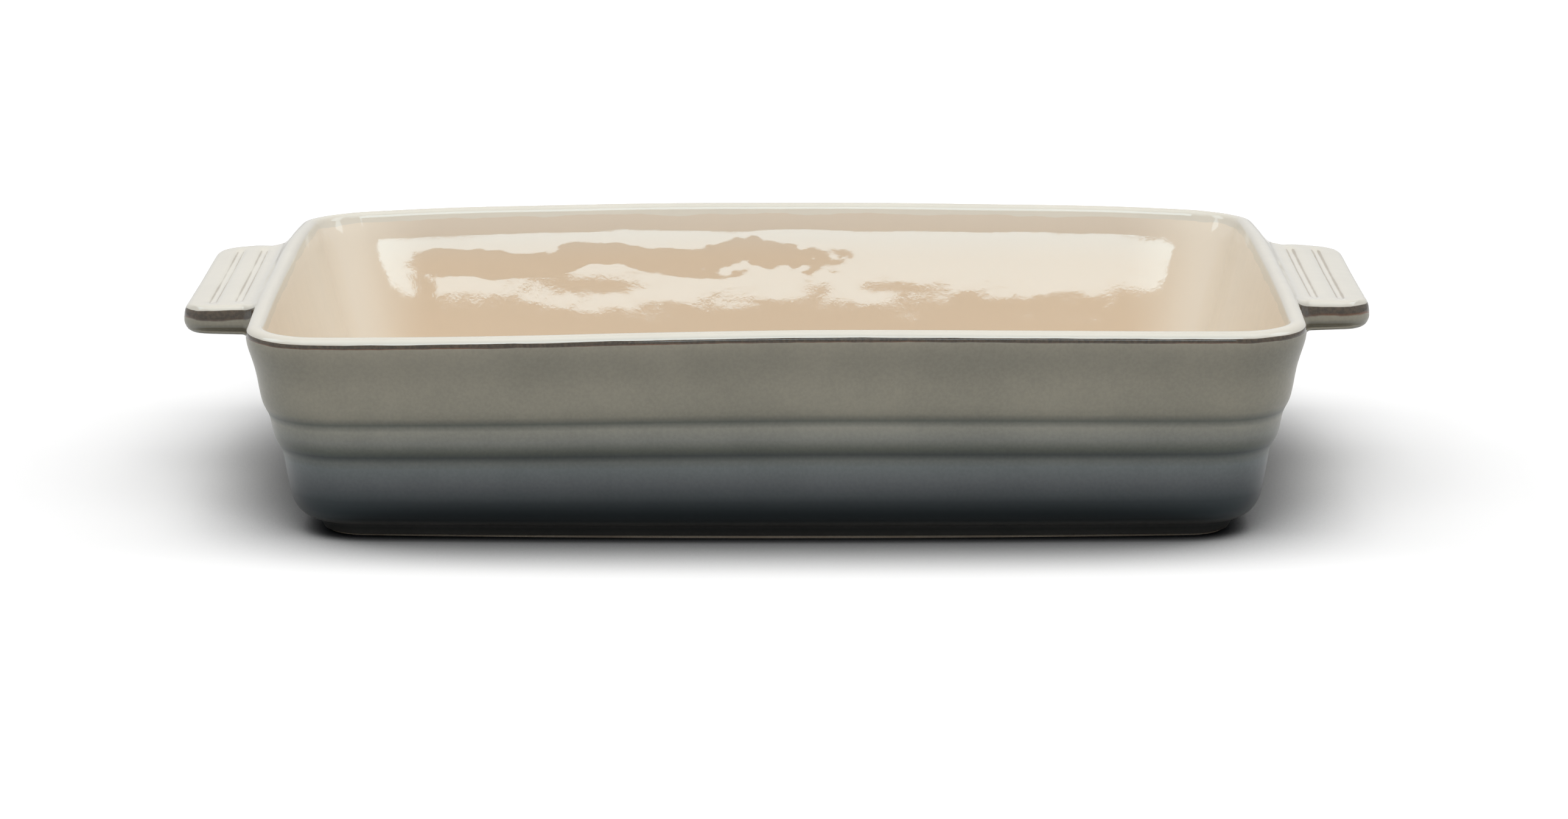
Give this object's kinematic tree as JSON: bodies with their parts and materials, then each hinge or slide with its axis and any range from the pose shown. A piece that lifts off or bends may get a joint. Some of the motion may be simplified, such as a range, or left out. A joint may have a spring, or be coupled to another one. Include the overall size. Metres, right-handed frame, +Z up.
{
  "type": "lasagna dish",
  "caption": "Rectangular glazed stoneware baking dish with bowed sides, a rounded rim, a foot ring and a grooved tab handle at each short end.",
  "frame": {"origin": "under the middle of the dish, on the surface it stands on", "axes": "+X from the left handle to the right handle, +Y from the front long side to the back, +Z up"},
  "size_m": [0.379, 0.235, 0.07],
  "materials": {
    "clay": "matte",
    "cream_glaze": "gloss",
    "brown_glaze": "gloss",
    "grey_glaze": "satin"
  },
  "bodies": {
    "root": {"stoneware_tub": "clay", "left_handle": "clay", "right_handle": "clay", "foot_ring": "clay", "inner_glaze": "cream_glaze", "edge_glaze": "brown_glaze", "outer_glaze": "grey_glaze", "underside_glaze": "grey_glaze"}
  },
  "joints": []
}
